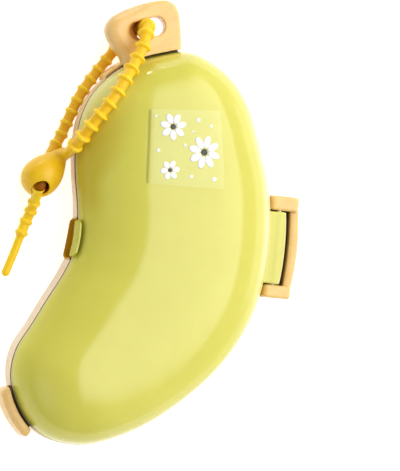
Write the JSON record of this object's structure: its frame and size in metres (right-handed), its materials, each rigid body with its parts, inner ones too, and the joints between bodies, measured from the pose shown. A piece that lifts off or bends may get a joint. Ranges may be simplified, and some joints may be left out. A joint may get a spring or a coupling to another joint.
{
  "type": "toothbrush case",
  "caption": "Banana-shaped hinged hard case for a child's toothbrush, with a hanging stem, a snap tab, inner clips and a beaded carry strap.",
  "frame": {"origin": "middle of the box round the closed case, without its strap, on the flat back that it rests on", "axes": "+Z out of the lid, +Y along the case towards the stem, +X towards the hinge"},
  "size_m": [0.1368, 0.1944, 0.0406],
  "materials": {
    "shell_peach": "satin-gloss moulded plastic",
    "lid_lemon": "high-gloss moulded plastic, slightly milky",
    "trim_apricot": "satin-gloss moulded plastic",
    "pin_steel": "drawn wire",
    "film_print": "clear printed film",
    "clip_peach": "satin moulded plastic",
    "strap_silicone": "glossy silicone"
  },
  "bodies": {
    "base": {"back_shell": "shell_peach", "hinge_bracket": "trim_apricot", "hinge_pin": "pin_steel", "stem_loop": "trim_apricot", "end_tip": "trim_apricot", "brush_clip_upper": "clip_peach", "brush_clip_lower": "clip_peach", "strap_cord": "strap_silicone", "strap_bulb": "strap_silicone"},
    "lid": {"front_lid": "lid_lemon", "lid_hinge_leaf": "lid_lemon", "print_film": "film_print"},
    "snap_tab": {"snap_tab": "lid_lemon"}
  },
  "joints": [
    {"name": "lid_hinge", "type": "hinge", "parent": "base", "child": "lid", "pos_m": [0.0577, -0.0109, 0.018], "axis": [0.1045, 0.9945, 0], "range_deg": [0, 110], "deforming": ["strap_cord"]},
    {"name": "tab_flex", "type": "hinge", "parent": "lid", "child": "snap_tab", "pos_m": [-0.0353, -0.00715, 0.022], "axis": [0.248, 0.9688, 0], "range_deg": [0, 8], "stiffness_Nm_per_rad": 0.05}
  ]
}
